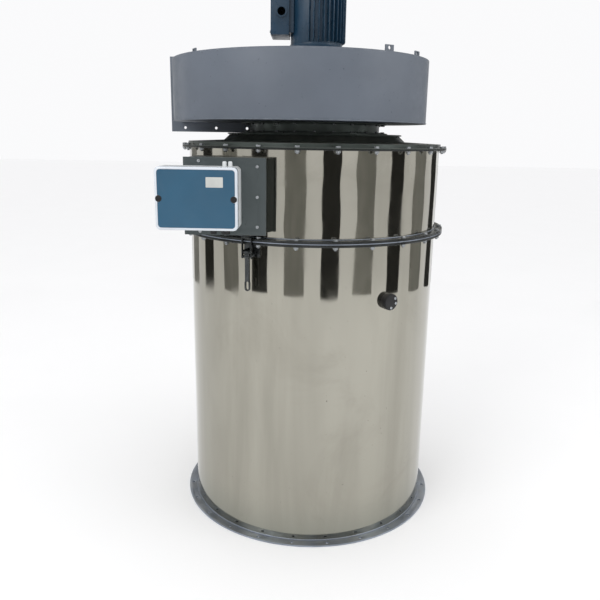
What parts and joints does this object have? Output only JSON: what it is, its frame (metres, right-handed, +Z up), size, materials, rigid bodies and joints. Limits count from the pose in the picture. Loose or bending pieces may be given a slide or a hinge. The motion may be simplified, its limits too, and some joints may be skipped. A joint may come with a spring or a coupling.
{
  "type": "dust collector",
  "caption": "Round venting dust collector: polished bolted casing with pleated filter cartridges, roof fan with motor, side control box and toggle latch.",
  "frame": {"origin": "centre of the base flange's bolt circle, on the face it stands on", "axes": "+Z up along the casing's axis; the front, with the control box, faces -Y; +X is to the right of a viewer in front"},
  "size_m": [0.918, 0.9463, 1.735],
  "materials": {
    "polished_steel": "mirror-polished stainless steel",
    "flange_steel": "satin stainless steel",
    "dark_flange": "satin, dark in the shade",
    "seal_rubber": "matt",
    "cover_sheet": "dull sheet steel",
    "bright_zinc": "zinc plated",
    "filter_felt": "pleated needle felt",
    "galvanised": "galvanised",
    "tank_paint": "satin paint",
    "valve_cast": "die cast",
    "black_plastic": "matt",
    "plunger_steel": "ground",
    "inlet_brass": "turned",
    "bracket_paint": "satin grey paint",
    "white_plastic": "moulded",
    "clear_lid": "moulded, milky clear",
    "blue_panel": "printed sheet, no lettering",
    "board_green": "solder resist",
    "board_black": "moulded",
    "latch_steel": "plain stainless",
    "fan_paint": "satin grey-blue paint",
    "impeller_steel": "welded sheet",
    "motor_paint": "dark blue enamel",
    "stator_copper": "lacquered windings"
  },
  "bodies": {
    "housing": {"lower_casing": "polished_steel", "upper_casing": "polished_steel", "base_flange": "flange_steel", "tube_sheet": "flange_steel", "mid_lower_flange": "dark_flange", "mid_upper_flange": "dark_flange", "top_flange": "dark_flange", "mid_seals": "seal_rubber", "top_seal": "seal_rubber", "top_cover": "cover_sheet", "mid_bolts": "bright_zinc", "mid_nuts": "bright_zinc", "top_bolts": "bright_zinc", "top_nuts": "bright_zinc", "collar_bolts": "bright_zinc", "motor_bolts": "bright_zinc", "bracket_screws": "bright_zinc", "port_screws": "bright_zinc", "filter_media": "filter_felt", "filter_collars": "galvanised", "filter_end_caps": "galvanised", "blow_pipes": "galvanised", "air_tank": "tank_paint", "valve_bodies": "valve_cast", "solenoid_coils": "black_plastic", "cable_glands": "black_plastic", "port_body": "black_plastic", "lid_screws": "black_plastic", "motor_bearings": "plunger_steel", "air_inlet": "inlet_brass", "bracket_box": "bracket_paint", "bracket_cover": "bracket_paint", "control_box_base": "white_plastic", "push_fittings": "white_plastic", "control_box_lid": "clear_lid", "control_panel_sheet": "blue_panel", "circuit_board": "board_green", "board_parts": "board_black", "latch_base": "latch_steel", "inlet_collar": "fan_paint", "inlet_cone": "fan_paint", "scroll_bottom": "fan_paint", "scroll_wall": "fan_paint", "scroll_top": "fan_paint", "outlet_flange": "fan_paint", "drive_end_shield": "motor_paint", "motor_housing": "motor_paint", "rear_shield": "motor_paint", "fan_cowl": "motor_paint", "terminal_box": "motor_paint", "stator_core": "stator_copper"},
    "rotor": {"impeller": "impeller_steel", "impeller_bolt": "bright_zinc", "motor_rotor": "plunger_steel", "cooling_fan": "black_plastic"},
    "latch_lever": {"latch_lever": "latch_steel"},
    "latch_link": {"latch_link": "latch_steel"},
    "plunger_1": {"valve_plunger_1": "plunger_steel"},
    "plunger_2": {"valve_plunger_2": "plunger_steel"},
    "plunger_3": {"valve_plunger_3": "plunger_steel"}
  },
  "joints": [
    {"name": "rotor_spin", "type": "hinge", "parent": "housing", "child": "rotor", "pos_m": [0, 0, 1.45], "axis": [0, 0, 1], "continuous": true},
    {"name": "latch_swing", "type": "hinge", "parent": "housing", "child": "latch_lever", "pos_m": [-0.17919, -0.38427, 0.905], "axis": [-0.9063, 0.4226, 0], "range_deg": [0, 60]},
    {"name": "link_tilt", "type": "hinge", "parent": "latch_lever", "child": "latch_link", "pos_m": [-0.1813, -0.38881, 0.892], "axis": [-0.9063, 0.4226, 0], "range_deg": [-60, 0]},
    {"name": "plunger_1_stroke", "type": "slide", "parent": "housing", "child": "plunger_1", "axis": [0, -1, 0], "range_m": [0, 0.003], "stiffness_N_per_m": 400, "springref_m": -0.001},
    {"name": "plunger_2_stroke", "type": "slide", "parent": "housing", "child": "plunger_2", "axis": [0, -1, 0], "range_m": [0, 0.003], "stiffness_N_per_m": 400, "springref_m": -0.001},
    {"name": "plunger_3_stroke", "type": "slide", "parent": "housing", "child": "plunger_3", "axis": [0, -1, 0], "range_m": [0, 0.003], "stiffness_N_per_m": 400, "springref_m": -0.001}
  ],
  "couplings": [
    {"joint": "link_tilt", "follows": "latch_swing", "ratio": -1}
  ]
}
